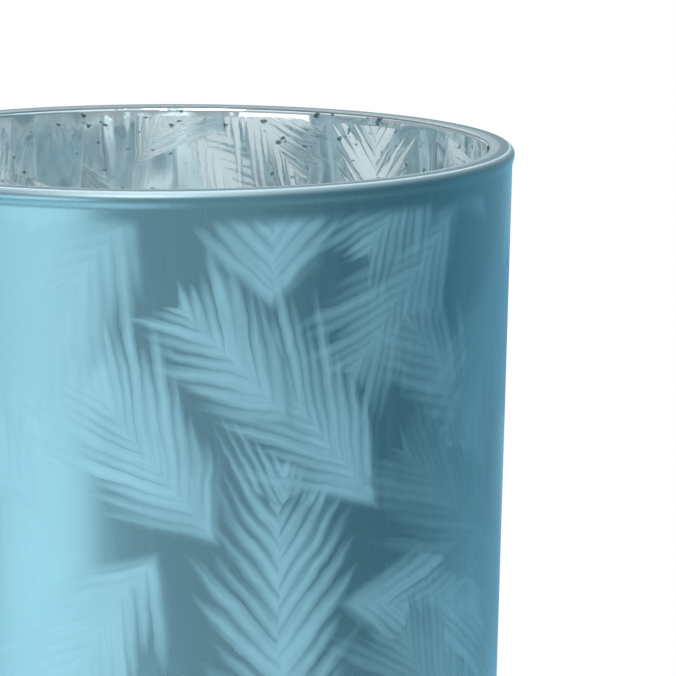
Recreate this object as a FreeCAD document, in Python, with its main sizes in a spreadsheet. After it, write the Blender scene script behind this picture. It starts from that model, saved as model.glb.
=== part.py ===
"""Glass lantern: a tapered, round-lipped glass vessel with a battery tealight standing on its floor.

The vessel is one turned glass form. The tealight is a small assembly: a moulded shell with a dished top,
a flame-shaped lens over a lamp, a base plate with the battery well, a coin-turn battery cover that also
carries the cell, and a slide switch.

Frame: millimetres, +Z up, origin at the centre of the foot, on the surface that the lantern stands on.
The tealight's switch is on the +X side of its axis, and its battery well lies towards -X.
"""

import FreeCAD
import Part
import math
import os
import re
import Sketcher
from enum import IntEnum
from FreeCAD import Vector

# Driving dimensions, in millimetres and degrees
SIZES = {
    # Glass vessel
    "vessel_height": 125.0,
    "lip_diameter": 100.0,
    "lip_bead": 0.3,
    "lip_depth": 2.4,
    "lip_round": 1.0,
    "lip_inner_round": 0.8,
    "wall_thickness": 3.5,
    "wall_taper": 1.5,
    "base_thickness": 7.0,
    "heel_round": 5.0,
    "floor_round": 4.0,
    "foot_width": 5.0,
    "foot_hollow": 1.5,
    # Tealight shell
    "light_height": 18.0,
    "light_wall": 1.2,
    "light_draft": 0.5,
    "shoulder": 0.6,
    "rim_width": 2.4,
    "rim_round": 0.9,
    "dish_depth": 3.5,
    "dish_radius": 14.0,
    "collar_width": 1.2,
    # Flame lens
    "flame_radius": 6.0,
    "flame_height": 27.0,
    "flame_lean": 1.2,
    "flame_wall": 1.3,
    "flame_play": 0.2,
    "flange_lap": 1.4,
    "flange_thickness": 1.0,
    "hollow_height": 12.0,
    # Lamp and its leads
    "lamp_diameter": 5.0,
    "lamp_height": 8.6,
    "lamp_collar": 0.4,
    "lamp_collar_height": 1.0,
    "lamp_drop": 0.8,
    "lead_width": 0.5,
    "lead_pitch": 2.54,
    "lead_foot": 6.0,
    "lead_tail": 3.7,
    # Coin cell
    "cell_diameter": 20.0,
    "cell_height": 3.2,
    "cell_cap_inset": 1.2,
    "cell_step": 0.4,
    "cell_edge_round": 0.5,
    "cell_play": 0.15,
    # Battery cover
    "cover_thickness": 1.2,
    "cover_play": 0.15,
    "tray_wall": 0.85,
    "lug_reach": 1.0,
    "lug_height": 0.9,
    "lug_lift": 0.15,
    "lug_span": 26.0,
    "lug_play": 0.2,
    "notch_play": 3.0,
    "twist_angle": 45.0,
    "coin_slot_length": 15.0,
    "coin_slot_width": 2.0,
    "coin_slot_depth": 0.7,
    # Base plate
    "plate_recess": 0.6,
    "plate_thickness": 1.6,
    "plate_play": 0.1,
    "well_wall": 0.9,
    "well_roof": 1.2,
    "contact_room": 1.0,
    "tower_wall": 1.6,
    "lead_bore": 2.2,
    "side_gap": 0.5,
    "end_gap": 3.0,
    # Side contact
    "contact_width": 3.4,
    "contact_thickness": 0.3,
    "contact_length": 1.7,
    "contact_play": 0.1,
    # Slide switch
    "knob_length": 5.0,
    "knob_width": 3.0,
    "knob_stand": 0.3,
    "knob_play": 0.2,
    "switch_travel": 3.0,
    "switch_gap": 0.3,
    "slider_width": 4.4,
    "slider_length": 8.0,
    "slider_height": 1.0,
    "slider_lift": 0.1,
    "post_width": 1.2,
    "post_height": 2.6,
    "rail_width": 0.8,
    "rail_height": 1.4,
    "grip_width": 0.5,
    "grip_depth": 0.25,
    "grip_pitch": 1.1,
}

# Lengths that follow from the driving ones
DERIVED = {
    # Vessel: radii of the outer wall at the lip and at the foot, and of the inner wall
    "wall_slope": "tan(wall_taper * 1 deg)",
    "wall_top": "lip_diameter / 2 - lip_bead + lip_depth * wall_slope / 2",
    "wall_foot": "wall_top - vessel_height * wall_slope",
    "bore_top": "wall_top - wall_thickness",
    "bore_floor": "bore_top - (vessel_height - base_thickness) * wall_slope",
    "foot_inner": "wall_foot - heel_round - foot_width",
    # Battery cover and well, from the cell outwards
    "cover_radius": "cell_diameter / 2 + cell_play + tray_wall",
    "cover_hole": "cover_radius + cover_play",
    "lug_radius": "cover_radius + lug_reach",
    "well_radius": "lug_radius + lug_play",
    "well_outer": "well_radius + well_wall",
    # Tealight: the well and the switch side by side set its bore, and the bore its outside
    "light_bore": "(side_gap + 2 * well_outer + switch_gap + slider_width + end_gap) / 2",
    "seat_radius": "light_bore + shoulder",
    "light_radius": "seat_radius + light_wall",
    "rim_outer": "light_radius - light_draft",
    "rim_inner": "rim_outer - rim_width",
    "well_x": "side_gap + well_outer - light_bore",
    "switch_x": "well_x + well_outer + switch_gap + slider_width / 2",
    # Heights in the tealight, from its standing edge upwards
    "plate_top": "plate_recess + plate_thickness",
    "cell_seat": "plate_recess + cover_thickness",
    "cell_top": "cell_seat + cell_height",
    "lug_bottom": "plate_top + lug_lift",
    "lug_top": "lug_bottom + lug_height",
    "well_ceiling": "cell_top + contact_room",
    "roof_top": "well_ceiling + well_roof",
    "dish_level": "light_height - dish_depth",
    "dish_under": "dish_level - light_wall",
    "flange_bottom": "dish_under - flange_thickness",
    "lamp_seat": "flange_bottom - lamp_drop",
    "flame_hole": "flame_radius + flame_play",
    "hollow_radius": "flame_radius - flame_wall",
    "lamp_radius": "lamp_diameter / 2",
    "tower_radius": "lead_bore + tower_wall",
    # Side contact: it lies on the cell's edge and leaves the well over the tray
    "contact_x": "well_x + cell_diameter / 2 + contact_play / 2",
    "contact_arm": "cell_top + contact_play * 2",
    # Slide switch
    "slider_bottom": "plate_top + slider_lift",
    "slider_top": "slider_bottom + slider_height",
    "tail_x": "well_x + well_outer + contact_play * 1.5",
    "knob_rest_y": "-switch_travel / 2",
}

# Outline of the flame, from its root to its tip: shares of its height, its radius and its lean
FLAME_SECTIONS = (
    (0.00, 1.00, 0.00),
    (0.20, 1.00, 0.00),
    (0.45, 0.84, 0.06),
    (0.68, 0.55, 0.30),
    (0.87, 0.26, 0.70),
    (1.00, 0.09, 1.00),
)

LUG_ANGLE = 90.0
LUG_COUNT = 2
GRIP_COUNT = 3
FULL_TURN = 360
NEAR = 1e-4


class Spot(IntEnum):
    """Points of a sketch line or arc."""

    START = 1
    END = 2
    CENTRE = 3


class Axis(IntEnum):
    """The axes of a sketch, which meet at the start point of the first."""

    HORIZONTAL = -1
    VERTICAL = -2


def bound(text):
    """The full expression of a length: sizes get their sheet's name, derived lengths are written out."""

    def full(match):
        word = match.group()
        if word in DERIVED:
            return f"({bound(DERIVED[word])})"
        return f"Sizes.{word}" if word in SIZES else word

    return re.sub(r"[a-z_][a-z_0-9]*", full, text)


def make_sheet(doc):
    sheet = doc.addObject("Spreadsheet::Sheet", "Sizes")
    for row, (alias, size) in enumerate(SIZES.items(), 1):
        sheet.set(f"A{row}", alias)
        sheet.set(f"B{row}", str(size))
        sheet.setAlias(f"B{row}", alias)
    doc.recompute()
    return sheet


doc = FreeCAD.newDocument("glass_lantern")
sheet = make_sheet(doc)


def value(text):
    """The number that an expression gives at the present sizes."""
    return float(sheet.evalExpression(bound(text)))


def new_body(name, x="0", z="0"):
    """A body whose own frame stands at x and z of the lantern's frame."""
    body = doc.addObject("PartDesign::Body", name)
    body.Label = name
    body.setExpression("Placement.Base.x", bound(x))
    body.setExpression("Placement.Base.z", bound(z))
    return body


def new_sketch(body, name, plane, height="0"):
    """A sketch on one of the body's origin planes, raised along the plane's normal."""
    sketch = body.newObject("Sketcher::SketchObject", name)
    support = next(f for f in body.Origin.OriginFeatures if f.Role == plane)
    sketch.AttachmentSupport = (support, [""])
    sketch.MapMode = "FlatFace"
    sketch.setExpression("AttachmentOffset.Base.z", bound(height))
    return sketch


def hold(sketch, geometry, position, x, y):
    """Binds a sketch point to its two coordinates."""
    for kind, text, axis in (("DistanceX", x, Axis.VERTICAL), ("DistanceY", y, Axis.HORIZONTAL)):
        if text == "0":
            sketch.addConstraint(Sketcher.Constraint("PointOnObject", geometry, position, axis))
            continue
        place = Sketcher.Constraint(kind, Axis.HORIZONTAL, Spot.START, geometry, position, value(text))
        index = sketch.addConstraint(place)
        sketch.setExpression(f"Constraints[{index}]", bound(text))


def arc_between(head, tail, radius, side):
    """An arc from head to tail that bulges to the left (side 1) or right (side -1) of its chord.

    A sketch arc runs anticlockwise, so the second value says whether it starts at the tail.
    """
    chord = tail - head
    across = Vector(-chord.y, chord.x, 0).normalize()
    offset = math.sqrt(radius**2 - (chord.Length / 2) ** 2)
    centre = (head + tail) * 0.5 - across * (offset * side)
    flipped = side > 0
    first, last = (tail, head) if flipped else (head, tail)
    angles = [math.atan2(p.y - centre.y, p.x - centre.x) for p in (first, last)]
    if angles[1] < angles[0]:
        angles[1] += 2 * math.pi
    return Part.ArcOfCircle(Part.Circle(centre, Vector(0, 0, 1), radius), *angles), flipped


def outline(sketch, corners, bends=None):
    """A closed outline through corners, each a pair of expressions.

    bends maps a corner's number to the radius and side of an arc to the next corner; other runs are straight.
    """
    bends = bends or {}
    points = [Vector(value(x), value(y), 0) for x, y in corners]
    ends = []
    for number, head in enumerate(points):
        tail = points[(number + 1) % len(points)]
        flipped = False
        shape = None
        if number in bends:
            radius, side = bends[number]
            shape, flipped = arc_between(head, tail, value(radius), side)
        index = sketch.addGeometry(shape or Part.LineSegment(head, tail))
        ends.append((index, *((Spot.END, Spot.START) if flipped else (Spot.START, Spot.END))))
        if number in bends:
            bend = sketch.addConstraint(Sketcher.Constraint("Radius", index, value(radius)))
            sketch.setExpression(f"Constraints[{bend}]", bound(radius))
    for number, (index, first, last) in enumerate(ends):
        following, next_first, _ = ends[(number + 1) % len(ends)]
        sketch.addConstraint(Sketcher.Constraint("Coincident", index, last, following, next_first))
        hold(sketch, index, first, *corners[number])


def ring(sketch, radius, x="0", y="0"):
    """A circle at x, y."""
    centre = Vector(value(x), value(y), 0)
    index = sketch.addGeometry(Part.Circle(centre, Vector(0, 0, 1), value(radius)))
    hold(sketch, index, Spot.CENTRE, x, y)
    size = sketch.addConstraint(Sketcher.Constraint("Radius", index, value(radius)))
    sketch.setExpression(f"Constraints[{size}]", bound(radius))


def rectangle(sketch, low_x, high_x, low_y, high_y):
    outline(sketch, [(low_x, low_y), (high_x, low_y), (high_x, high_y), (low_x, high_y)])


def sector(sketch, inner, outer, middle, half_span):
    """A block between two radii, centred on the angle middle, with straight sides and a round back."""
    angles = (f"({middle} - {half_span})", f"({middle} + {half_span})")
    spots = [(inner, angles[0]), (outer, angles[0]), (outer, angles[1]), (inner, angles[1])]
    corners = [(f"({r}) * cos({a} * 1 deg)", f"({r}) * sin({a} * 1 deg)") for r, a in spots]
    outline(sketch, corners, {1: (outer, -1)})


def turn(body, name, corners, bends=None):
    """A solid turned about Z from an outline of radii and heights."""
    sketch = new_sketch(body, f"{name}_profile", "XZ_Plane")
    outline(sketch, corners, bends)
    feature = body.newObject("PartDesign::Revolution", name)
    feature.Profile = sketch
    feature.ReferenceAxis = (sketch, ["V_Axis"])
    feature.Angle = FULL_TURN
    return feature


def block(body, name, kind, draw, low, high):
    """A pad or pocket from height low to height high, whose outline draw makes in a sketch."""
    sketch = new_sketch(body, f"{name}_outline", "XY_Plane", low)
    draw(sketch)
    feature = body.newObject(f"PartDesign::{kind}", name)
    feature.Profile = sketch
    feature.setExpression("Length", bound(f"{high} - ({low})"))
    feature.Reversed = kind == "Pocket"
    return feature


def pad(body, name, draw, low, high):
    return block(body, name, "Pad", draw, low, high)


def pocket(body, name, draw, low, high):
    """A cut upwards from low to high, which has to take material away."""
    doc.recompute()
    before = body.Shape.Volume
    feature = block(body, name, "Pocket", draw, low, high)
    doc.recompute()
    if not body.Shape.Volume < before:
        raise RuntimeError(f"{name} cuts nothing")
    return feature


def round_edges(body, name, radius, rings):
    """Rounds the circular edges that lie at the given radii and heights."""
    doc.recompute()
    base = body.Tip
    wanted = [(value(r), value(z)) for r, z in rings]

    def is_wanted(edge):
        if edge.Degenerated or not isinstance(edge.Curve, Part.Circle):
            return False
        here = (edge.Curve.Radius, edge.Curve.Center.z)
        return any(abs(here[0] - r) < NEAR and abs(here[1] - z) < NEAR for r, z in wanted)

    names = [f"Edge{i}" for i, edge in enumerate(base.Shape.Edges, 1) if is_wanted(edge)]
    if len(names) != len(rings):
        raise RuntimeError(f"{name} found {len(names)} of {len(rings)} edges")
    feature = body.newObject("PartDesign::Fillet", name)
    feature.Base = (base, names)
    feature.setExpression("Radius", bound(radius))
    return feature


def pattern(body, name, kind, original, axis, count, spread):
    """Repeats a feature round an axis, or along it; spread is the pattern's whole angle or length."""
    feature = body.newObject(f"PartDesign::{kind}", name)
    feature.Originals = [original]
    if kind == "PolarPattern":
        feature.Axis = axis
        feature.Angle = spread
    else:
        feature.Direction = axis
        feature.setExpression("Length", bound(spread))
    feature.Occurrences = count
    body.Tip = feature
    return feature


def make_glass_vessel():
    """Tapered tumbler with a beaded lip, a thick base and a shallow hollow under the foot."""
    body = new_body("glass_vessel")
    corners = [
        ("0", "foot_hollow"),
        ("foot_inner", "0"),
        ("wall_foot", "0"),
        ("wall_top - lip_depth * wall_slope", "vessel_height - lip_depth"),
        ("wall_top", "vessel_height"),
        ("bore_top", "vessel_height"),
        ("bore_floor", "base_thickness"),
        ("0", "base_thickness"),
    ]
    bead_chord = "(lip_depth / cos(wall_taper * 1 deg))"
    bends = {
        0: ("(foot_inner^2 + foot_hollow^2) / (2 * foot_hollow)", 1),
        3: (f"({bead_chord}^2 / 4 + lip_bead^2) / (2 * lip_bead)", -1),
    }
    turn(body, "vessel_form", corners, bends)
    round_edges(body, "heel", "heel_round", [("wall_foot", "0")])
    round_edges(body, "floor_corner", "floor_round", [("bore_floor", "base_thickness")])
    round_edges(body, "lip_outside", "lip_round", [("wall_top", "vessel_height")])
    round_edges(body, "lip_inside", "lip_inner_round", [("bore_top", "vessel_height")])
    return body


def make_light_shell():
    """Moulded cup, open below, whose top dips like melted wax round the flame's hole."""
    body = new_body("light_shell", z="base_thickness")
    corners = [
        ("light_radius", "0"),
        ("rim_outer", "light_height"),
        ("rim_inner", "light_height"),
        ("flame_hole + collar_width", "dish_level"),
        ("flame_hole", "dish_level"),
        ("flame_hole", "dish_under"),
        ("flame_hole + collar_width", "dish_under"),
        ("rim_inner", "light_height - light_wall"),
        ("light_bore - light_draft", "light_height - light_wall"),
        ("light_bore", "plate_top"),
        ("seat_radius", "plate_top"),
        ("seat_radius", "0"),
    ]
    turn(body, "shell_form", corners, {2: ("dish_radius", 1), 6: ("dish_radius", -1)})
    rims = [("rim_outer", "light_height"), ("rim_inner", "light_height")]
    round_edges(body, "shell_rim", "rim_round", rims)
    return body


def make_flame_lens():
    """Hollow flame that leans a little, with a flange that holds it under the shell's dish."""
    body = new_body("flame_lens", z="base_thickness")

    def flange(sketch):
        ring(sketch, "flame_hole + flange_lap")

    pad(body, "flame_flange", flange, "flange_bottom", "dish_under")
    sections = []
    for number, (rise, girth, lean) in enumerate(FLAME_SECTIONS):
        level = f"dish_under + flame_height * {rise}"
        sketch = new_sketch(body, f"flame_section_{number}", "XY_Plane", level)
        ring(sketch, f"flame_radius * {girth}", f"flame_lean * {lean}" if lean else "0")
        sections.append(sketch)
    loft = body.newObject("PartDesign::AdditiveLoft", "flame_form")
    loft.Profile = sections[0]
    loft.Sections = sections[1:]
    doc.recompute()
    hollow = new_sketch(body, "flame_hollow_profile", "XZ_Plane")
    corners = [
        ("0", "flange_bottom"),
        ("hollow_radius", "flange_bottom"),
        ("hollow_radius", "dish_under + hollow_height / 3"),
        ("lamp_radius + lamp_collar", "dish_under + hollow_height"),
        ("0", "dish_under + hollow_height"),
    ]
    outline(hollow, corners)
    groove = body.newObject("PartDesign::Groove", "flame_hollow")
    groove.Profile = hollow
    groove.ReferenceAxis = (hollow, ["V_Axis"])
    groove.Angle = FULL_TURN
    return body


def make_lamp():
    """Round-nosed lamp with a collar at its foot."""
    body = new_body("lamp", z="base_thickness + lamp_seat")
    corners = [
        ("0", "0"),
        ("lamp_radius + lamp_collar", "0"),
        ("lamp_radius + lamp_collar", "lamp_collar_height"),
        ("lamp_radius", "lamp_collar_height"),
        ("lamp_radius", "lamp_height - lamp_radius"),
        ("0", "lamp_height"),
    ]
    turn(body, "lamp_form", corners, {4: ("lamp_radius", -1)})
    return body


def wire_run(name, x, y, z, length, width, height):
    """One straight run of lead, from its low corner, in the tealight's frame."""
    run = doc.addObject("Part::Box", name)
    for side, text in (("Length", length), ("Width", width), ("Height", height)):
        run.setExpression(side, bound(text))
    for axis, text in (("x", x), ("y", y), ("z", f"base_thickness + {z}")):
        run.setExpression(f"Placement.Base.{axis}", bound(text))
    return run


def fuse(name, shapes):
    fused = doc.addObject("Part::MultiFuse", name)
    fused.Shapes = shapes
    return fused


def make_lamp_leads():
    """Two bent leads: one lies on the cell's cap, the other runs over the well's roof to the switch."""
    half = "lead_width / 2"
    cap_y = f"-lead_pitch / 2 - {half}"
    foot_z = "cell_top + contact_play / 2"
    cap_drop = wire_run(
        "cap_drop", f"-{half}", cap_y, foot_z, "lead_width", "lead_width", f"lamp_seat - ({foot_z})"
    )
    cap_foot = wire_run(
        "cap_foot", f"{half} - lead_foot", cap_y, foot_z, "lead_foot", "lead_width", "lead_width"
    )
    arm_y = f"lead_pitch / 2 - {half}"
    arm_drop = wire_run(
        "arm_drop", f"-{half}", arm_y, "roof_top", "lead_width", "lead_width", "lamp_seat - roof_top"
    )
    arm_length = f"tail_x + lead_width + {half}"
    arm = wire_run("arm", f"-{half}", arm_y, "roof_top", arm_length, "lead_width", "lead_width")
    tail_z = "roof_top + lead_width - lead_tail"
    tail = wire_run("tail", "tail_x", arm_y, tail_z, "lead_width", "lead_width", "lead_tail")
    leads = doc.addObject("Part::Compound", "lamp_leads")
    leads.Links = [fuse("cap_lead", [cap_drop, cap_foot]), fuse("switch_lead", [arm_drop, arm, tail])]
    return leads


def make_base_plate():
    """Round plate that closes the shell, with the battery well, the lamp's tower and the switch's window."""
    body = new_body("base_plate", z="base_thickness")
    half_notch = "(lug_span / 2 + notch_play)"

    def plate(sketch):
        ring(sketch, "seat_radius - plate_play")

    def well_form(sketch):
        ring(sketch, "well_outer", "well_x")

    def well_space(sketch):
        ring(sketch, "well_radius", "well_x")

    def cover_hole(sketch):
        ring(sketch, "cover_hole", "well_x")

    def tower(sketch):
        ring(sketch, "tower_radius")

    def bore(sketch):
        ring(sketch, "lead_bore")

    def lead_slot(sketch):
        low = "lead_pitch / 2 - lead_width / 2 - contact_play"
        high = "lead_pitch / 2 + lead_width / 2 + contact_play"
        rectangle(sketch, "lead_bore / 2", "tower_radius + contact_play", low, high)

    def contact_slot(sketch):
        half = "(contact_width / 2 + contact_play)"
        low = "well_x + well_radius - well_wall"
        rectangle(sketch, low, "well_x + well_outer + contact_play", f"-{half}", half)

    def window(sketch):
        half_x = "(knob_width / 2 + knob_play)"
        half_y = "(knob_length / 2 + switch_travel / 2 + knob_play)"
        rectangle(sketch, f"switch_x - {half_x}", f"switch_x + {half_x}", f"-{half_y}", half_y)

    def rail(sketch):
        low = "switch_x + slider_width / 2 + knob_play"
        half_y = "(slider_length / 2)"
        rectangle(sketch, low, f"{low} + rail_width", f"-{half_y}", half_y)

    def notch(number):
        def draw(sketch):
            middle = f"({LUG_ANGLE + number * FULL_TURN / LUG_COUNT} - twist_angle)"
            angles = (f"({middle} - {half_notch})", f"({middle} + {half_notch})")
            inner = "(cover_hole - cover_play - tray_wall)"
            spots = [(inner, angles[0]), ("well_radius", angles[0])]
            spots += [("well_radius", angles[1]), (inner, angles[1])]
            corners = [
                (f"well_x + {r} * cos({a} * 1 deg)", f"{r} * sin({a} * 1 deg)") for r, a in spots
            ]
            outline(sketch, corners, {1: ("well_radius", -1)})

        return draw

    pad(body, "plate_disc", plate, "plate_recess", "plate_top")
    pad(body, "well_boss", well_form, "plate_top", "roof_top")
    pad(body, "lamp_tower", tower, "roof_top", "lamp_seat")
    pad(body, "switch_rail", rail, "plate_top", "plate_top + rail_height")
    pocket(body, "well_space", well_space, "plate_top", "well_ceiling")
    pocket(body, "cover_opening", cover_hole, "plate_recess", "plate_top")
    for number in range(LUG_COUNT):
        pocket(body, f"lug_notch_{number}", notch(number), "plate_recess", "plate_top")
    pocket(body, "lead_bore_hole", bore, "well_ceiling", "lamp_seat")
    pocket(body, "lead_notch", lead_slot, "roof_top", "roof_top + lead_width + contact_play")
    arm_top = "contact_arm + contact_thickness + contact_play"
    pocket(body, "contact_notch", contact_slot, "contact_arm - contact_play", arm_top)
    pocket(body, "switch_window", window, "plate_recess", "plate_top")
    return body


def make_battery_cover():
    """Coin-turn cover: a disc with a low tray wall round the cell and two lugs over the plate's edge."""
    body = new_body("battery_cover", x="well_x", z="base_thickness")

    def disc(sketch):
        ring(sketch, "cover_radius")

    def tray(sketch):
        ring(sketch, "cover_radius")
        ring(sketch, "cover_radius - tray_wall")

    def lug(sketch):
        sector(sketch, "cover_radius - tray_wall / 2", "lug_radius", str(LUG_ANGLE), "lug_span / 2")

    def coin_slot(sketch):
        half_x = "(coin_slot_length / 2)"
        half_y = "(coin_slot_width / 2)"
        rectangle(sketch, f"-{half_x}", half_x, f"-{half_y}", half_y)

    pad(body, "cover_disc", disc, "plate_recess", "cell_seat")
    pad(body, "cell_tray", tray, "cell_seat", "lug_top")
    first_lug = pad(body, "lug", lug, "lug_bottom", "lug_top")
    axis = (first_lug.Profile[0], ["N_Axis"])
    pattern(body, "lugs", "PolarPattern", first_lug, axis, LUG_COUNT, FULL_TURN)
    pocket(body, "coin_slot", coin_slot, "plate_recess", "plate_recess + coin_slot_depth")
    return body


def make_coin_cell():
    """Coin cell, its wide can below and its narrower cap above."""
    body = new_body("coin_cell", x="well_x", z="base_thickness + cell_seat")
    corners = [
        ("0", "0"),
        ("cell_diameter / 2", "0"),
        ("cell_diameter / 2", "cell_height - cell_step"),
        ("cell_diameter / 2 - cell_cap_inset", "cell_height - cell_step"),
        ("cell_diameter / 2 - cell_cap_inset", "cell_height"),
        ("0", "cell_height"),
    ]
    turn(body, "cell_form", corners)
    edges = [("cell_diameter / 2", "0"), ("cell_diameter / 2", "cell_height - cell_step")]
    round_edges(body, "cell_edges", "cell_edge_round", edges)
    return body


def make_side_contact():
    """Bent strip from the cell's edge, over the tray, out through the well's wall."""
    body = new_body("side_contact", z="base_thickness")
    half = "(contact_width / 2)"
    foot = "contact_arm - contact_length"
    outside = "well_x + well_outer + contact_play / 2"

    def leaf(sketch):
        rectangle(sketch, "contact_x", "contact_x + contact_thickness", f"-{half}", half)

    def arm(sketch):
        rectangle(sketch, "contact_x", outside, f"-{half}", half)

    pad(body, "contact_leaf", leaf, foot, "contact_arm")
    pad(body, "contact_strip", arm, "contact_arm", "contact_arm + contact_thickness")
    return body


def make_switch_knob():
    """Slide switch at its off end: a ribbed knob in the plate's window and a slider with a post above it."""
    body = new_body("switch_knob", x="switch_x", z="base_thickness")
    body.setExpression("Placement.Base.y", bound("knob_rest_y"))
    half_x = "(knob_width / 2)"
    knob_bottom = "plate_recess - knob_stand"

    def knob(sketch):
        rectangle(sketch, f"-{half_x}", half_x, "-(knob_length / 2)", "knob_length / 2")

    def slider(sketch):
        rectangle(
            sketch, "-slider_width / 2", "slider_width / 2", "-slider_length / 2", "slider_length / 2"
        )

    def post(sketch):
        half_y = "(post_width / 2)"
        low = "tail_x + lead_width + contact_play - switch_x"
        middle = "(lead_pitch / 2 - switch_travel / 2)"
        rectangle(sketch, low, f"{low} + post_width", f"{middle} - {half_y}", f"{middle} + {half_y}")

    def grip(sketch):
        first = f"(grip_pitch * {(1 - GRIP_COUNT) / 2})"
        rectangle(sketch, f"-{half_x}", half_x, f"{first} - grip_width / 2", f"{first} + grip_width / 2")

    pad(body, "knob", knob, knob_bottom, "slider_bottom")
    pad(body, "slider", slider, "slider_bottom", "slider_top")
    pad(body, "post", post, "slider_top", "slider_top + post_height")
    groove = pocket(body, "grip_groove", grip, knob_bottom, f"{knob_bottom} + grip_depth")
    axis = (groove.Profile[0], ["V_Axis"])
    spread = f"grip_pitch * {GRIP_COUNT - 1}"
    pattern(body, "grip_grooves", "LinearPattern", groove, axis, GRIP_COUNT, spread)
    return body


def check_model(parts):
    """Stops if any object failed to build, or a sub-part isn't made of valid solids."""
    failed = [o.Name for o in doc.Objects if {"Invalid", "Error"} & set(o.State)]
    if failed:
        raise RuntimeError(f"failed objects: {failed}")
    for part in parts:
        shape = part.Shape
        if shape.isNull() or not shape.isValid() or not shape.Solids:
            raise RuntimeError(f"{part.Label} isn't a valid solid")


def write_parts(parts):
    os.makedirs("parts", exist_ok=True)
    for part in parts:
        part.Shape.exportStep(f"parts/{part.Label}.step")
        box = part.Shape.optimalBoundingBox()
        size = f"{box.XLength:.2f} x {box.YLength:.2f} x {box.ZLength:.2f}"
        print(f"{part.Label}: {len(part.Shape.Solids)} solid(s), {size} mm, {part.Shape.Volume:.1f} mm3")


parts = [
    make_glass_vessel(),
    make_light_shell(),
    make_flame_lens(),
    make_lamp(),
    make_lamp_leads(),
    make_base_plate(),
    make_battery_cover(),
    make_coin_cell(),
    make_side_contact(),
    make_switch_knob(),
]
doc.recompute()
check_model(parts)
write_parts(parts)
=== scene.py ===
# %% [markdown]
# # A frosted lantern glass with fronds
# This lesson dresses a lantern: a thick, tapered glass with a satin blue coat outside and a silver
# lining inside. A pattern of fronds is left open in the silver, so the fronds look pale outside and
# matte inside. A battery tealight stands on the floor of the glass. The solids come from the CAD model,
# and everything here is in metres in the same frame, with +Z up.

import math

import bmesh
import bpy
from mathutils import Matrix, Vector


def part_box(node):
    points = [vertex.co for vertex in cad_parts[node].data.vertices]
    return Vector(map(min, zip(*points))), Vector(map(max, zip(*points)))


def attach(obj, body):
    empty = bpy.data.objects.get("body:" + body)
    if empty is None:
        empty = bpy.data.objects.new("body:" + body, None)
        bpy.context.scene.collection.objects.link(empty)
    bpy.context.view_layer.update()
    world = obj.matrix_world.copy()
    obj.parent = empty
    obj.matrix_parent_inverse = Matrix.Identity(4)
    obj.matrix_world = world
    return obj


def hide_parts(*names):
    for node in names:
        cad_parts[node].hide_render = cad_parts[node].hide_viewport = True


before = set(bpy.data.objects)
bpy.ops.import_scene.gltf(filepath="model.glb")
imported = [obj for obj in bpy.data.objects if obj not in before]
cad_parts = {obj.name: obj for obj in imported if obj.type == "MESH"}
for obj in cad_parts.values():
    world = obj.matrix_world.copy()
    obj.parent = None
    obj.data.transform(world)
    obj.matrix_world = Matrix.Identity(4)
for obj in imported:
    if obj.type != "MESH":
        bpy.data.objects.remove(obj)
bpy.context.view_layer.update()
scene = bpy.context.scene
scene.view_settings.view_transform = "Standard"
print("nodes:", sorted(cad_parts))

# %% [markdown]
# ## Camera
# The lens is long, so the wall hardly converges. The camera stands in front (-Y), a little above the
# lip, and looks down by the angle at which the lip's circle is seen as a narrow ellipse. The aim is off
# the axis, so that the picture is a close view of the upper right part. A tracking constraint could aim
# the camera, but with three plain directions the aim can be given as distances from the lip's centre.

# %% Place the camera
MM = 0.001
LIP_CENTRE = Vector((0, 0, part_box("glass_vessel")[1].z))
CAMERA_DISTANCE = 900 * MM
CAMERA_PITCH = math.radians(9.01)
LIP_LEFT_OF_AIM = 24.72 * MM
LIP_ABOVE_AIM = 27.55 * MM
LENS = 335.5
SENSOR_WIDTH = 36


def place_camera():
    data = bpy.data.cameras.new("close_view")
    data.lens = LENS
    data.sensor_width = SENSOR_WIDTH
    camera = bpy.data.objects.new("close_view", data)
    scene.collection.objects.link(camera)
    forward = Vector((0, math.cos(CAMERA_PITCH), -math.sin(CAMERA_PITCH)))
    upward = Vector((0, math.sin(CAMERA_PITCH), math.cos(CAMERA_PITCH)))
    rightward = Vector((1, 0, 0))
    aim = LIP_CENTRE + rightward * LIP_LEFT_OF_AIM - upward * LIP_ABOVE_AIM
    camera.location = aim - forward * CAMERA_DISTANCE
    camera.rotation_euler = (math.pi / 2 - CAMERA_PITCH, 0, 0)
    scene.camera = camera
    return camera


camera = place_camera()
print("camera at", tuple(round(c, 4) for c in camera.location))

# %% [markdown]
# ## The glass
# The glass is pressed, with a straight tapered wall, a thick floor and a small bead round the lip. Its
# height and lip come from the solid's box, and the other sizes are the solid's own, in millimetres. Only
# the bead and the outer rounding of the lip are a little softer than on the solid, for a softer
# highlight.

# %% Sizes of the glass
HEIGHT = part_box("glass_vessel")[1].z / MM
LIP_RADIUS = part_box("glass_vessel")[1].x / MM
SLOPE = math.tan(math.radians(1.5))
WALL = 3.5
FLOOR = 7.0
FLOOR_ROUND = 4.0
HEEL_ROUND = 5.0
FOOT_INNER = 36.4
FOOT_HOLLOW = 1.5
BEAD = 0.3
BEAD_DEPTH = 2.8
LIP_ROUND = 1.1
LIP_INNER_ROUND = 0.8


def wall_radius(z):
    """Radius of the outer wall at height z, without the lip's bead."""
    return LIP_RADIUS - BEAD - (HEIGHT - z) * SLOPE


def bore_radius(z):
    """Radius of the inner wall at height z."""
    return wall_radius(z) - WALL


print("wall radius at the lip and the foot:", round(wall_radius(HEIGHT), 2), round(wall_radius(0), 2))

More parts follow.
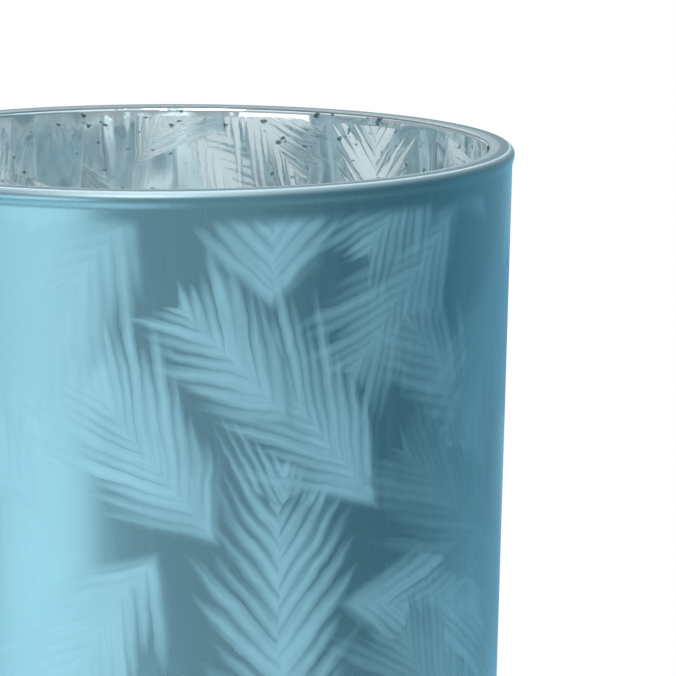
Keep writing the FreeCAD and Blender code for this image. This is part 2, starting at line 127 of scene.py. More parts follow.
# %% [markdown]
# A turned form needs only one outline, which is spun round the axis. A cylinder with loop cuts would do
# too, but an outline keeps every rounding exact. It starts under the foot, goes up the outside, over the
# lip and down the inside. Arcs round its corners. The wall gets a point every few millimetres, so that
# smooth shading stays even beside the small arcs.

# %% Draw the outline
WALL_STEP = 4.0
LIP_STEPS = 8
CORNER_STEPS = 10
HOLLOW_STEPS = 6
FLOOR_SHARES = (0.75, 0.5, 0.25, 0)


def arc(centre, radius, start, stop, steps):
    """Points on an arc, with its angles in degrees."""
    angles = [math.radians(start + (stop - start) * i / steps) for i in range(steps + 1)]
    return [(centre[0] + radius * math.cos(a), centre[1] + radius * math.sin(a)) for a in angles]


def run(radius_at, low, high):
    """Points along a wall from height low to height high, without its ends."""
    count = max(2, round(abs(high - low) / WALL_STEP))
    heights = [low + (high - low) * i / count for i in range(1, count)]
    return [(radius_at(z), z) for z in heights]


def bead_swell(low, high):
    """Points on the outer wall under the lip, where it swells out into the bead."""
    points = []
    for i in range(LIP_STEPS + 1):
        share = i / LIP_STEPS
        z = low + (high - low) * share
        swell = math.sin(share * math.pi / 2) ** 2
        points.append((wall_radius(z) + BEAD * swell, z))
    return points


def glass_outline():
    tilt = math.degrees(math.atan(SLOPE))
    shares = [i / HOLLOW_STEPS for i in range(HOLLOW_STEPS + 1)]
    hollow = [(FOOT_INNER * share, FOOT_HOLLOW * (1 - share**2)) for share in shares]
    heel_centre = (wall_radius(HEEL_ROUND) - HEEL_ROUND * math.hypot(1, SLOPE), HEEL_ROUND)
    heel = arc(heel_centre, HEEL_ROUND, -90, -tilt, CORNER_STEPS)
    wall = run(wall_radius, heel[-1][1], HEIGHT - BEAD_DEPTH)
    bead = bead_swell(HEIGHT - BEAD_DEPTH, HEIGHT - LIP_ROUND)
    lip = arc((bead[-1][0] - LIP_ROUND, HEIGHT - LIP_ROUND), LIP_ROUND, 0, 90, LIP_STEPS)
    inner_centre = (bore_radius(HEIGHT) + LIP_INNER_ROUND, HEIGHT - LIP_INNER_ROUND)
    inner_lip = arc(inner_centre, LIP_INNER_ROUND, 90, 180, LIP_STEPS)
    floor_top = FLOOR + FLOOR_ROUND
    bore = run(bore_radius, inner_lip[-1][1], floor_top)
    floor_centre = (bore_radius(floor_top) - FLOOR_ROUND, floor_top)
    corner = arc(floor_centre, FLOOR_ROUND, 0, -90, CORNER_STEPS)
    floor = [(corner[-1][0] * share, FLOOR) for share in FLOOR_SHARES]
    return hollow + heel + wall + bead + lip[1:] + inner_lip + bore + corner + floor


outline = glass_outline()
print("outline points:", len(outline))

# %% [markdown]
# Spinning the outline leaves the points on the axis and the seam doubled. They are merged, and the
# normals are recalculated afterwards. The coat and the lining are finishes of one piece of glass, so
# they are two material slots of one mesh: faces on the inside, up to the lip's inner edge, take the
# second slot.

# %% Spin the outline
SPIN_STEPS = 256
MERGE_DISTANCE = 1e-6
GLASS_COAT = 0
GLASS_LINING = 1
LINING_EDGE = 0.12
FLOOR_SLACK = 0.1


def lined(face):
    """Whether a face lies on the inside of the glass."""
    centre = face.calc_center_median() / MM
    radius = math.hypot(centre.x, centre.y)
    return centre.z > FLOOR - FLOOR_SLACK and radius < bore_radius(centre.z) + LINING_EDGE


def spin_glass():
    form = bmesh.new()
    points = [form.verts.new((r * MM, 0, z * MM)) for r, z in outline]
    edges = [form.edges.new(pair) for pair in zip(points, points[1:])]
    bmesh.ops.spin(
        form,
        geom=points + edges,
        cent=(0, 0, 0),
        axis=(0, 0, 1),
        angle=2 * math.pi,
        steps=SPIN_STEPS,
        use_merge=True,
    )
    bmesh.ops.remove_doubles(form, verts=form.verts, dist=MERGE_DISTANCE)
    bmesh.ops.recalc_face_normals(form, faces=form.faces)
    for face in form.faces:
        face.smooth = True
        face.material_index = GLASS_LINING if lined(face) else GLASS_COAT
    mesh = bpy.data.meshes.new("lantern_glass")
    form.to_mesh(mesh)
    form.free()
    glass = bpy.data.objects.new("lantern_glass", mesh)
    scene.collection.objects.link(glass)
    return glass


glass = spin_glass()
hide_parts("glass_vessel")
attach(glass, "vessel")
print("glass triangles:", sum(len(p.vertices) - 2 for p in glass.data.polygons))

# %% [markdown]
# ## Shader sums in plain Python
# Nodes can be wired by hand, but a pattern of a hundred nodes is easier to read as an ordinary sum. A
# wire is one value in a node tree. Its operators add the maths nodes, and the method `node` adds any
# other node from its settings and from what goes into its sockets.

# %% A wire class for shader sums


class Wire:
    """One value in a node tree, or the tree alone where nothing is wired yet."""

    def __init__(self, tree, socket=None):
        self.tree = tree
        self.socket = socket

    def node(self, kind, inputs=None, output=0, **settings):
        """A new node of the same tree: its settings first, then wires or values for its sockets."""
        made = self.tree.nodes.new(kind)
        for name, setting in settings.items():
            setattr(made, name, setting)
        for key, item in (inputs or {}).items():
            if isinstance(item, Wire):
                self.tree.links.new(item.socket, made.inputs[key])
            else:
                made.inputs[key].default_value = item
        return Wire(self.tree, made.outputs[output] if made.outputs else None)

    def other(self, output):
        """Another output of the node that this wire comes from."""
        return Wire(self.tree, self.socket.node.outputs[output])

    def parts(self):
        """The three parts of a vector or a colour."""
        first = self.node("ShaderNodeSeparateXYZ", {0: self})
        return first, first.other(1), first.other(2)

    def maths(self, operation, *terms):
        """A maths node with this wire as its first term."""
        return self.node("ShaderNodeMath", dict(enumerate((self, *terms))), operation=operation)

    def __add__(self, other):
        return self.maths("ADD", other)

    def __radd__(self, other):
        return self.maths("ADD", other)

    def __sub__(self, other):
        return self.maths("SUBTRACT", other)

    def __rsub__(self, other):
        return self.node("ShaderNodeMath", {0: other, 1: self}, operation="SUBTRACT")

    def __mul__(self, other):
        return self.maths("MULTIPLY", other)

    def __rmul__(self, other):
        return self.maths("MULTIPLY", other)

    def __truediv__(self, other):
        return self.maths("DIVIDE", other)

    def __rtruediv__(self, other):
        return self.node("ShaderNodeMath", {0: other, 1: self}, operation="DIVIDE")

    def __abs__(self):
        return self.maths("ABSOLUTE")

    def step(self, low, high, start=0.0, stop=1.0):
        """A smooth rise from start to stop between two values of this wire."""
        inputs = {0: self, 1: low, 2: high, 3: start, 4: stop}
        return self.node("ShaderNodeMapRange", inputs, interpolation_type="SMOOTHSTEP")


print("a wire can:", [name.strip("_") for name in vars(Wire) if callable(vars(Wire)[name])])

# %% [markdown]
# A few helpers carry most of the materials. Numbers are mixed by maths, but colours go through a colour
# mix, because maths would turn them grey. Noise gives every finish its variation. A stretched place
# turns round specks of noise into streaks.

# %% Helpers for materials
# Blender's mix node has sockets of one name for each kind of data, so the colour ones go by number.
MIX_FACTOR = 0
MIX_FIRST = 6
MIX_SECOND = 7
MIX_RESULT = 2
# Noise and chances lie between 0 and 1, so this is their middle.
EVEN_CHANCE = 0.5


def colour(red, green, blue):
    return (red, green, blue, 1.0)


def mix_colours(share, first, second):
    """A colour between two colours or colour wires, with a wire as the share of the second."""
    inputs = {MIX_FACTOR: share, MIX_FIRST: first, MIX_SECOND: second}
    return share.node("ShaderNodeMix", inputs, MIX_RESULT, data_type="RGBA")


def mix_numbers(share, first, second):
    """A number between two numbers, with a wire as the share of the second."""
    return share * (second - first) + first


def noise(place, scale, detail):
    """Soft noise between 0 and 1."""
    return place.node("ShaderNodeTexNoise", {"Vector": place, "Scale": scale, "Detail": detail})


def stretched(place, shares):
    """The place with x, y and z each multiplied by a share of its own."""
    return place.node("ShaderNodeVectorMath", {0: place, 1: shares}, operation="MULTIPLY")


def object_place(root):
    """The place in the object's own frame, as a vector in metres and as x, y and z in millimetres."""
    place = root.node("ShaderNodeTexCoord", output="Object")
    return place, [part / MM for part in place.parts()]


def new_material(name):
    """A material with an empty node tree, and a wire to start from."""
    material = bpy.data.materials.new(name)
    material.use_nodes = True
    material.node_tree.nodes.clear()
    return material, Wire(material.node_tree)


def surface(root, sockets):
    """The surface shader, with wires or plain values for its sockets."""
    return root.node("ShaderNodeBsdfPrincipled", sockets)


def show(shader):
    """Makes a shader what the material shows."""
    shader.node("ShaderNodeOutputMaterial", {"Surface": shader})


HELPERS = (mix_colours, mix_numbers, noise, stretched, object_place, new_material, surface, show)
print("helpers:", [helper.__name__ for helper in HELPERS])

# %% [markdown]
# ## One frond
# A frond has a stem that starts at a point of the unrolled wall and runs in some direction. `along` and
# `across` are a point's place in the frond's own frame. A leaflet leaves the stem at about 40 degrees
# near the base and at a sharper angle near the tip, so stepping back by `across` gives the place `root`
# where the leaflet through this point leaves the stem. Leaflets repeat along the stem and get shorter
# towards the frond's base and tip.
#
# The fronds are brushed on, so each leaflet has a length, a width and a tone by chance. Near the stem
# the leaflets run into each other. The gap beside a leaflet opens towards its end, until nothing is left
# of it. A noise that is long in the leaflet's direction gives the strokes of the brush. The fronds could
# be drawn as curves and projected, but a formula has no texture to lose and stays sharp in a close view.

# %% The frond formula
UNROLL_RADIUS = 48.5
REPEATS = 3
PERIOD = 2 * math.pi * UNROLL_RADIUS / REPEATS
DROP = 80.0
LEAN_GROWTH = 0.03
BROADEST = 0.3
THINNEST = 0.001
TIP_FADE = 0.05
SHORTEST = 0.58
PALEST = 0.86
SIDE_SEED = 0.37
SIDE_SHIFT = 0.2
GAP_GROWTH = 1.2
GAP_AT_END = 0.5
BLUNTNESS = 5.0
GAP_CHANCE = 0.9
STROKES_ALONG_STEM = 1.3
STROKES_ALONG_LEAFLET = 0.12
STROKE_GAP = 1.2
# Spans for a smooth step: where it begins and ends, and, where given, its value at both.
STROKE_TONES = (0.3, 0.62, 0.8, 1.0)
OUTLINE_EDGE = (1.0, 0.7)


def frond(s, h, base_s, base_h, cosine, sine, length, width, lean, pitch, pale, soft, gap):
    """Cover of one frond, up to 1 on its leaflets and 0 beside them, and the area inside its outline."""
    right = (s - base_s).maths("WRAP", PERIOD / 2, -PERIOD / 2)
    up = (base_h - h).maths("WRAP", DROP / 2, -DROP / 2)
    along = right * cosine + up * sine
    offset = up * cosine - right * sine
    across = abs(offset)
    root = (along - across * lean) / (across * LEAN_GROWTH + 1.0)
    side = offset.maths("SIGN")
    phase = root + side * pitch * SIDE_SHIFT
    number = (phase + pitch / 2).maths("SNAP", pitch) + side * SIDE_SEED + base_s
    chances = number.node("ShaderNodeTexWhiteNoise", {"W": number}, "Color", noise_dimensions="1D")
    reach_chance, gap_chance, pale_chance = chances.parts()
    longest = width * mix_numbers(reach_chance, SHORTEST, 1.0)
    bulge = (root - length * BROADEST) / (length * (1 - BROADEST))
    taper = 1.0 - bulge * bulge
    share = across / (longest * taper.maths("MAXIMUM", THINNEST))
    stroke_place = {0: phase * STROKES_ALONG_STEM, 1: across * STROKES_ALONG_LEAFLET, 2: base_s}
    strokes = noise(root.node("ShaderNodeCombineXYZ", stroke_place), scale=1.0, detail=1.0)
    blunt_end = share.maths("POWER", BLUNTNESS) * GAP_AT_END
    uneven = (gap_chance - EVEN_CHANCE) * GAP_CHANCE + (strokes - EVEN_CHANCE) * STROKE_GAP
    gap = gap + share * GAP_GROWTH + blunt_end + uneven
    middle = phase.maths("PINGPONG", pitch / 2)
    leaflet = (pitch / 2 * (1.0 - gap) - middle).step(0 - soft, soft)
    on_stem = root.step(0.0, 2 * soft) * taper.step(0.0, TIP_FADE)
    # `pale` is partly the frond's own tone and partly painted shade: it is lower for the fronds on the
    # right.
    tone = pale * mix_numbers(pale_chance, PALEST, 1.0) * strokes.step(*STROKE_TONES)
    return leaflet * on_stem * tone, share.step(*OUTLINE_EDGE) * on_stem


print("the fronds repeat every", round(PERIOD, 1), "mm round the glass and every", DROP, "mm down")

# %% [markdown]
# The formula is built once, as a node group. Each frond of the pattern is then one node with its own
# numbers, which keeps the materials small.

# %% The frond as a node group
FROND_INPUTS = ("s", "h", "base_s", "base_h", "cosine", "sine")
FROND_INPUTS += ("length", "width", "lean", "pitch", "pale", "soft", "gap")
FROND_OUTPUTS = ("cover", "outline")


def frond_group():
    tree = bpy.data.node_groups.new("frond", "ShaderNodeTree")
    for name in FROND_INPUTS:
        tree.interface.new_socket(name, in_out="INPUT", socket_type="NodeSocketFloat")
    for name in FROND_OUTPUTS:
        tree.interface.new_socket(name, in_out="OUTPUT", socket_type="NodeSocketFloat")
    given = Wire(tree).node("NodeGroupInput")
    wires = frond(*[given.other(name) for name in FROND_INPUTS])
    given.node("NodeGroupOutput", dict(zip(FROND_OUTPUTS, wires)))
    return tree


FROND_GROUP = frond_group()
print("nodes in one frond:", len(FROND_GROUP.nodes))

# %% [markdown]
# ## Where the fronds lie
# The wall is unrolled: `s` runs to the right along the wall from the front, and `h` runs down from the
# lip, both in millimetres. The list gives each frond's start, its direction (0 points right, 90 up), its
# length and the reach of its leaflets to one side. Then come how far the leaflets lean towards the tip,
# their spacing, how pale the frond is, how soft its edges look through the coat, and how much wider than
# usual its gaps are. How pale a frond is, is partly its own tone and partly painted shade: the fronds far
# to the right get lower values, so that they are darker where the light falls off. A frond lies over
# those before it. Scattering by chance would be shorter, but the fronds' places make the glass look like
# itself.

# %% The list of fronds
# The pale column is partly each frond's tone and partly painted shade: lower on the right, where the
# light falls off.
FRONDS = [
    (18.5, 65.0, 92, 27, 10.5, 1.8, 3.0, 0.95, 0.6, 0.25),
    (17.8, 77.5, 92, 34, 15, 0.75, 3.2, 0.95, 0.6, 0.4),
    (9.0, 49.9, 128, 38, 11.5, 1.2, 2.6, 0.95, 0.7, 0.0),
    (-16.2, 45.5, 128, 34, 11, 1.3, 2.6, 0.85, 0.6, 0.0),
    (16.1, 18.0, 91, 28, 13, 0.9, 2.8, 0.95, 0.7, 0.0),
    (33.2, 46.0, 130, 31, 12, 1.3, 2.6, 0.95, 0.7, 0.0),
    (20.0, 33.8, 134, 25, 9.5, 1.2, 3.0, 0.95, 0.7, 0.1),
    (0.7, 49.8, -126, 38, 11, 1.0, 2.6, 0.90, 0.7, 0.0),
    (-14.4, 5.2, -132, 34, 11, 1.7, 2.8, 0.85, 0.6, 0.1),
    (-2.0, 1.0, -126, 32, 11, 1.0, 2.6, 0.75, 0.8, 0.0),
    (49.0, 2.5, -132, 32, 9.0, 1.3, 2.6, 0.80, 1.2, 0.0),
    (25.0, 58.0, -8, 38, 11, 1.4, 2.8, 0.75, 0.9, 0.0),
    (60.5, 44.0, 134, 34, 8.5, 1.2, 2.8, 0.62, 1.2, 0.0),
    (66.0, 8.0, -115, 34, 11, 1.4, 2.8, 0.55, 1.5, 0.0),
    (66.0, 62.0, 140, 38, 11, 1.4, 2.8, 0.42, 1.5, 0.0),
    (73.0, 38.0, 70, 34, 11, 1.4, 2.8, 0.55, 1.5, 0.0),
    (57.0, 89.0, 128, 32, 11, 1.4, 2.6, 0.52, 0.9, 0.0),
    (76.0, 81.0, 118, 32, 11, 1.4, 2.6, 0.50, 0.9, 0.0),
    (45.0, 71.5, -128, 24, 10, 1.4, 2.6, 0.80, 0.8, 0.0),
]
print("fronds in one repeat:", len(FRONDS))

# %% [markdown]
# Each frond first hides most of what lies beneath its outline, and then adds its own leaflets. Without
# that, crossing leaflets would fill each other's gaps and the fronds would melt into one pale sheet. A
# slow noise moves the place by about a millimetre, so that no leaflet is ruler-straight. The band under
# the lip stays plain.

# %% The pattern
BAND_EDGE = 0.5
DRIFT = 3.0
DRIFT_NOISE = {"Scale": 60.0, "Detail": 4.0, "Roughness": 0.62}
HIDES = 0.8


def glass_place(root):
    """The place on the glass as a vector in metres, and x, y and depth below the lip in millimetres."""
    place, (x, y, z) = object_place(root)
    return place, x, y, HEIGHT - z


def frond_cover(place, x, y, depth, blur_share, pitch_share, gap_at_stem, plain_band):
    """The fronds' cover over the wall, with a share of each frond's blur and of its leaflets' spacing."""
    drift = place.node("ShaderNodeTexNoise", {"Vector": place, **DRIFT_NOISE}, "Color")
    drift_s, drift_h, _ = drift.parts()
    s = x.maths("ARCTAN2", 0 - y) * UNROLL_RADIUS + (drift_s - EVEN_CHANCE) * DRIFT
    h = depth + (drift_h - EVEN_CHANCE) * DRIFT
    covered = 0.0
    for base_s, base_h, turn, length, width, lean, pitch, pale, blur, opening in FRONDS:
        heading = math.radians(turn)
        stem = (base_s, base_h, math.cos(heading), math.sin(heading), length)
        leaflets = (width, lean, pitch * pitch_share, pale, blur * blur_share, gap_at_stem + opening)
        inputs = dict(zip(FROND_INPUTS, (s, h, *stem, *leaflets)))
        cover = s.node("ShaderNodeGroup", inputs, "cover", node_tree=FROND_GROUP)
        beneath = (1.0 - cover.other("outline") * HIDES) * covered
        covered = 1.0 - (1.0 - beneath) * (1.0 - cover)
    edge = BAND_EDGE * blur_share
    return covered * depth.step(plain_band - edge, plain_band + edge)


print("fronds over the whole wall:", len(FRONDS) * REPEATS, "in each", DROP, "mm of height")

# %% [markdown]
# ## The coat outside
# The coat is a blue lacquer over the silver. Between the fronds the silver shows as a satin metal, and
# the fronds scatter the light like frosted glass. Most of the blue is in the base colour. Light that
# runs through the lacquer at a low angle passes more of it, so a coat layer with a weak tint deepens the
# blue towards the edges by itself.
#
# Soft clouds and fine upright streaks keep the frost from looking printed. The lip has zones of its own:
# the lacquer is thinner on the outer rim, whose colour is darkened as painted shade to tone down the
# highlight of its rounding, and missing on the flat top and the inner rounding, where bare glass looks
# dark.

# %% Zones of the lip
LIP_MIDDLE = LIP_RADIUS - BEAD - WALL / 2
INNER_RADII = (LIP_MIDDLE + 0.2, LIP_MIDDLE - 0.4)
INNER_DEPTHS = (1.5, 1.0)
FLAT_DEPTHS = (0.08, 0.02)
RIM_DEPTHS = (1.3, 0.4)


def lip_zones(x, y, depth):
    """Masks for the lip's flat top, its inner rounding, both together, and its outer rim."""
    radius = (x * x + y * y).maths("SQRT")
    flat = depth.step(*FLAT_DEPTHS)
    inner = radius.step(*INNER_RADII) * depth.step(*INNER_DEPTHS)
    top = flat.maths("MAXIMUM", inner)
    return flat, inner, top, depth.step(*RIM_DEPTHS) * (1.0 - top)


print("middle of the lip at a radius of", round(LIP_MIDDLE, 2), "mm")

# %% [markdown]
# The coat's material sets what is the same all over as plain values, and feeds only colour, metal,
# roughness and the coat's weight from the pattern.

# %% The coat's material
COAT_SILVER = colour(0.275, 0.489, 0.56)
COAT_FROSTED = colour(0.392, 0.66, 0.75)
# Painted shade: a darker colour for the outer rim, which tones down the highlight on its rounding.
RIM_PAINTED_SHADE = colour(0.28, 0.315, 0.33)
LIP_TOP = colour(0.11, 0.136, 0.144)
COAT_TINT = colour(0.82, 0.95, 1.0)
COAT_LAYER = {"Coat Roughness": 0.4, "Coat IOR": 1.02, "Coat Tint": COAT_TINT, "Specular IOR Level": 0.35}
COAT_FRONDS = {"blur_share": 2.4, "pitch_share": 1.05, "gap_at_stem": -0.65, "plain_band": 4.4}
STREAK_SHARES = (700, 700, 40)
STREAK_STRENGTH = 0.16
CLOUD_SCALE = 130.0
CLOUD_TONES = (0.3, 0.6, 0.84, 1.0)
# In these pairs the first value is for the silver and the second for the fronds.
COAT_METAL = (0.92, 0.2)
COAT_ROUGHNESS = (0.27, 0.55)
# How much of that painted shade the outer rim gets.
RIM_SHADE_SHARE = 0.8
RIM_ROUGHNESS = 0.2
FLAT_ROUGHNESS = 0.25
COAT_LOSS = 0.6


def coat_material():
    material, root = new_material("satin_blue_coat")
    place, x, y, depth = glass_place(root)
    cover = frond_cover(place, x, y, depth, **COAT_FRONDS)
    flat, inner, top, rim = lip_zones(x, y, depth)
    streaks = noise(stretched(place, STREAK_SHARES), scale=1.0, detail=2.0)
    clouds = noise(place, CLOUD_SCALE, detail=3.0)
    brushed = cover * clouds.step(*CLOUD_TONES) + (streaks - EVEN_CHANCE) * STREAK_STRENGTH
    frost = top.maths("MAXIMUM", brushed)
    wall_colour = mix_colours(frost, COAT_SILVER, COAT_FROSTED)
    # Painted shade on the outer rim, to tone down the highlight of its rounding.
    shaded_rim_colour = mix_colours(rim * RIM_SHADE_SHARE, wall_colour, RIM_PAINTED_SHADE)
    lip_roughness = rim * RIM_ROUGHNESS + (flat - inner) * FLAT_ROUGHNESS
    sockets = {
        "Base Color": mix_colours(top, shaded_rim_colour, LIP_TOP),
        "Metallic": mix_numbers(frost, *COAT_METAL),
        "Roughness": mix_numbers(frost, *COAT_ROUGHNESS) + lip_roughness,
        "Coat Weight": 1.0 - (rim + top) * COAT_LOSS,
    }
    show(surface(root, {**sockets, **COAT_LAYER}))
    return material


glass.data.materials.append(coat_material())
print("coat nodes:", len(glass.data.materials[GLASS_COAT].node_tree.nodes))

# %% [markdown]
# ## The lining inside
# Inside, the same fronds have sharp edges, because nothing lies over them. The silver is a mirror on
# pressed glass, so it ripples, more in some areas than in others. The fronds are bare frosted glass.
# Near the lip the silver has specks, and along the leaflets it has slits, where the dark back of the
# coat shows. Real dents in the mesh would be too fine for its faces, so the ripples are a bump.

# %% The lining's material
LINING_SILVER = colour(0.82, 0.91, 0.935)
LINING_FROSTED = colour(0.74, 0.82, 0.85)
BARE_COAT = colour(0.13, 0.23, 0.27)
LINING_FRONDS = {"blur_share": 0.5, "pitch_share": 0.75, "gap_at_stem": -0.2, "plain_band": 1.5}
RIPPLE_SHARES = (180, 180, 65)
RIPPLE_BUMP = {"Strength": 0.6, "Distance": 1 * MM}
CALM_SCALE = 55.0
CALM_RIPPLES = (0.38, 0.62, 0.2, 1.0)
SPECK_SHARES = (480, 480, 700)
SPECK_EDGE = (0.64, 0.70)
SPECK_DEPTHS = (24.0, 4.0)
SLIT_OUTER_EDGE = (0.1, 0.35)
SLIT_INNER_EDGE = (0.85, 0.55)
SLIT_AREAS = (0.48, 0.60)
SLIT_STRENGTH = 0.6
# Here too, the first value is for the silver and the second for the fronds.
LINING_METAL = (1.0, 0.05)
LINING_ROUGHNESS = (0.05, 0.5)
RIPPLE_ROUGHNESS = 0.05


def lining_material():
    material, root = new_material("silver_lining")
    place, x, y, depth = glass_place(root)
    cover = frond_cover(place, x, y, depth, **LINING_FRONDS)
    ripple = noise(stretched(place, RIPPLE_SHARES), scale=1.0, detail=1.2)
    calm = noise(place, CALM_SCALE, detail=0.0)
    height = ripple * calm.step(*CALM_RIPPLES)
    speckle = noise(stretched(place, SPECK_SHARES), scale=1.0, detail=2.0)
    specks = speckle.step(*SPECK_EDGE) * depth.step(*SPECK_DEPTHS)
    slits = cover.step(*SLIT_OUTER_EDGE) * cover.step(*SLIT_INNER_EDGE) * calm.step(*SLIT_AREAS)
    marks = specks.maths("MAXIMUM", slits * SLIT_STRENGTH)
    sockets = {
        "Base Color": mix_colours(marks, mix_colours(cover, LINING_SILVER, LINING_FROSTED), BARE_COAT),
        "Metallic": mix_numbers(cover, *LINING_METAL),
        "Roughness": mix_numbers(cover, *LINING_ROUGHNESS) + ripple * RIPPLE_ROUGHNESS,
        "Normal": root.node("ShaderNodeBump", {"Height": height, **RIPPLE_BUMP}),
    }
    show(surface(root, sockets))
    return material


glass.data.materials.append(lining_material())
print("lining nodes:", len(glass.data.materials[GLASS_LINING].node_tree.nodes))

# %% [markdown]
# ## The tealight
# The tealight's pieces keep their solids, because their shapes are right. Each gets a material with a
# little variation of its own: a moulded plastic has a fine grain, the flame is warmer towards its root,
# and the metals are dull in patches. Two functions make all the plastics and all the metals, so that
# they belong together.

# %% Finishes of the tealight
PLASTIC_IOR = 1.46
PLASTIC_GRAIN = 400.0
GRAIN_ROUGHNESS = 0.05
METAL_PATCHES = 250.0
PATCH_ROUGHNESS = 0.12
FLAME_ROOT = colour(0.95, 0.62, 0.28)
FLAME_TIP = colour(0.96, 0.90, 0.74)
FLAME_ROUGHNESS = (0.3, 0.45)


def plastic(name, dark, light, roughness):
    material, root = new_material(name)
    place, _ = object_place(root)
    grain = noise(place, PLASTIC_GRAIN, detail=3.0)
    sockets = {
        "Base Color": mix_colours(grain, dark, light),
        "Roughness": mix_numbers(grain, roughness - GRAIN_ROUGHNESS, roughness + GRAIN_ROUGHNESS),
        "IOR": PLASTIC_IOR,
    }
    show(surface(root, sockets))
    return material


def metal(name, dark, light, roughness):
    material, root = new_material(name)
    place, _ = object_place(root)
    patches = noise(place, METAL_PATCHES, detail=2.0)
    sockets = {
        "Base Color": mix_colours(patches, dark, light),
        "Roughness": mix_numbers(patches, roughness, roughness + PATCH_ROUGHNESS),
        "Metallic": 1.0,
    }
    show(surface(root, sockets))
    return material


def flame_material():
    material, root = new_material("flame_plastic")
    _, (_, _, z) = object_place(root)
    low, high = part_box("flame_lens")
    share = z.step(low.z / MM, high.z / MM)
    sockets = {
        "Base Color": mix_colours(share, FLAME_ROOT, FLAME_TIP),
        "Roughness": mix_numbers(share, *FLAME_ROUGHNESS),
        "IOR": PLASTIC_IOR,
    }
    show(surface(root, sockets))
    return material


wax = plastic("wax_plastic", colour(0.80, 0.76, 0.68), colour(0.88, 0.85, 0.78), 0.45)
base_plastic = plastic("base_plastic", colour(0.74, 0.72, 0.67), colour(0.82, 0.80, 0.75), 0.5)
resin = plastic("lamp_resin", colour(0.80, 0.66, 0.32), colour(0.92, 0.80, 0.48), 0.12)
switch_plastic = plastic("switch_plastic", colour(0.02, 0.02, 0.022), colour(0.035, 0.035, 0.04), 0.5)
tinned = metal("tinned_wire", colour(0.55, 0.55, 0.53), colour(0.72, 0.72, 0.70), 0.28)
cell_steel = metal("cell_steel", colour(0.58, 0.59, 0.60), colour(0.70, 0.71, 0.72), 0.24)
print("finishes:", [m.name for m in (wax, base_plastic, resin, switch_plastic, tinned, cell_steel)])

# %% [markdown]
# A node's solid is used as it is, so its finish is simply put in place of the material it came with.

# %% Give the solids their finishes
FINISHES = {
    "light_shell": wax,
    "flame_lens": flame_material(),
    "lamp": resin,
    "lamp_leads": tinned,
    "base_plate": base_plastic,
    "battery_cover": base_plastic,
    "coin_cell": cell_steel,
    "side_contact": tinned,
    "switch_knob": switch_plastic,
}
for node, finish in FINISHES.items():
    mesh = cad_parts[node].data
    mesh.materials.clear()
    mesh.materials.append(finish)
print("finished solids:", len(FINISHES))

# %% [markdown]
# ## Floor
# The floor is pale near the lantern, where it catches a soft shadow. Further out it turns to plain white
# for rays that come straight from the camera, and behind the lantern also for rays that metal mirrors,
# so that the background is white without more light on the lantern. For all other rays the floor is dark
# on the right, which keeps the right side of the coat deep blue.

# %% Make the floor
WHITE = colour(1, 1, 1)
FLOOR_RADIUS = 220 * MM
FLOOR_SEGMENTS = 96
FLOOR_GRAIN = 20.0
FLOOR_PALE = (colour(0.80, 0.80, 0.80), colour(0.84, 0.84, 0.84))
FLOOR_DARK = colour(0.25, 0.25, 0.25)
FLOOR_ROUGHNESS = 0.9
DARK_DISTANCES = (95.0, 140.0)
DARK_TO_THE_RIGHT = (-40.0, 40.0)
WHITE_DISTANCES = (60.0, 115.0)
WHITE_TO_THE_BACK = (0.0, 60.0)


def white_rays(root):
    """Wires for rays straight from the camera, and for rays mirrored by metal or passed by glass."""
    seen = root.node("ShaderNodeLightPath", output="Is Camera Ray")
    return seen, seen.other("Is Glossy Ray").maths("MAXIMUM", seen.other("Is Transmission Ray"))


def floor_material():
    material, root = new_material("pale_floor")
    place, (x, y, _) = object_place(root)
    distance = (x * x + y * y).maths("SQRT")
    pale = mix_colours(noise(place, FLOOR_GRAIN, detail=2.0), *FLOOR_PALE)
    dark = distance.step(*DARK_DISTANCES) * x.step(*DARK_TO_THE_RIGHT)
    lit = surface(root, {"Base Color": mix_colours(dark, pale, FLOOR_DARK), "Roughness": FLOOR_ROUGHNESS})
    plain_white = root.node("ShaderNodeEmission", {"Color": WHITE, "Strength": 1.0})
    seen, mirrored = white_rays(root)
    share = distance.step(*WHITE_DISTANCES) * (seen + mirrored * y.step(*WHITE_TO_THE_BACK))
    show(root.node("ShaderNodeMixShader", {0: share, 1: lit, 2: plain_white}))
    return material


def make_floor():
    form = bmesh.new()
    bmesh.ops.create_circle(form, cap_ends=True, segments=FLOOR_SEGMENTS, radius=FLOOR_RADIUS)
    mesh = bpy.data.meshes.new("floor")
    form.to_mesh(mesh)
    form.free()
    floor = bpy.data.objects.new("floor", mesh)
    scene.collection.objects.link(floor)
    mesh.materials.append(floor_material())
    return floor


make_floor()
print("floor radius:", FLOOR_RADIUS)

# %% [markdown]
# ## Light
# Four large soft lights stand well away from the lantern: one low at the front left, which gives the
# coat its pale left side, one high in front, one behind for the lip, and one overhead. They are a little
# warm. A point lamp would leave hard sparks on the satin coat, so each is a wide panel that the camera
# doesn't see.

# %% Lights
WARM_WHITE = (1.0, 0.96, 0.92)
AIM_HEIGHT = 0.6


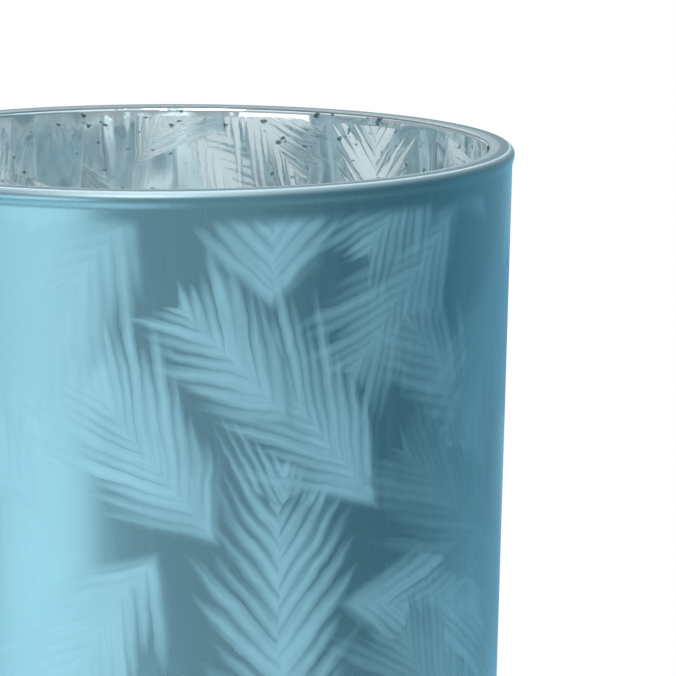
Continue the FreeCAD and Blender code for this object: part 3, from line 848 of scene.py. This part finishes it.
def soft_light(name, place, size, power):
    """A rectangular soft light that faces a point a little above the middle of the glass."""
    data = bpy.data.lights.new(name, "AREA")
    data.shape = "RECTANGLE"
    data.size, data.size_y = size
    data.energy = power
    data.color = WARM_WHITE
    light = bpy.data.objects.new(name, data)
    scene.collection.objects.link(light)
    light.location = place
    light.visible_camera = False
    aim = Vector((0, 0, HEIGHT * MM * AIM_HEIGHT)) - light.location
    light.rotation_euler = aim.to_track_quat("-Z", "Y").to_euler()


soft_light("left_softbox", (-0.78, -0.90, -0.10), (0.8, 0.6), 1.9)
soft_light("high_softbox", (-0.15, -0.85, 1.0), (0.7, 0.7), 8.0)
soft_light("back_softbox", (-0.05, 1.0, 0.9), (1.0, 0.8), 10.6)
soft_light("overhead", (0.0, 0.1, 1.2), (0.6, 0.6), 3.5)

# %% [markdown]
# The surroundings are what the satin coat mirrors: grey in front, darker and bluer on the right, lighter
# behind and above. The coat shows them as its slow change from pale to deep blue. For the camera itself
# they are plain white, and so they are for metal that mirrors what lies straight behind the lantern.

# %% Surroundings
COOL_WHITE = colour(0.93, 1.0, 1.06)
COOL_SIDE = colour(0.58, 0.97, 1.13)
FRONT_LEVEL = 0.40
SIDE_LOSS = 0.175
BACK_GAIN = 0.2
SKY_GAIN = 0.8
RIGHT_SIDE = (0.4, 0.92)
SIDE_TO_THE_FRONT = (0.75, 0.1)
BACK = (0.7, 1.0)
SKY = (0.3, 0.9)
STRAIGHT_BACK = (0.88, 1.0)


def make_surroundings():
    world = bpy.data.worlds.new("studio")
    scene.world = world
    world.use_nodes = True
    world.node_tree.nodes.clear()
    root = Wire(world.node_tree)
    x, y, z = root.node("ShaderNodeTexCoord", output="Generated").parts()
    side = x.step(*RIGHT_SIDE)
    dark_side = side * y.step(*SIDE_TO_THE_FRONT)
    level = FRONT_LEVEL - dark_side * SIDE_LOSS + y.step(*BACK) * BACK_GAIN + z.step(*SKY) * SKY_GAIN
    seen, mirrored = white_rays(root)
    white = seen + mirrored * y.step(*STRAIGHT_BACK)
    sockets = {
        "Color": mix_colours(white, mix_colours(side, COOL_WHITE, COOL_SIDE), WHITE),
        "Strength": level + white * (1.0 - level),
    }
    background = root.node("ShaderNodeBackground", sockets)
    root.node("ShaderNodeOutputWorld", {"Surface": background})
    return world


print("surroundings:", make_surroundings().name)

# %% [markdown]
# ## Finish
# The dressed lantern must take up the same room as the solids.
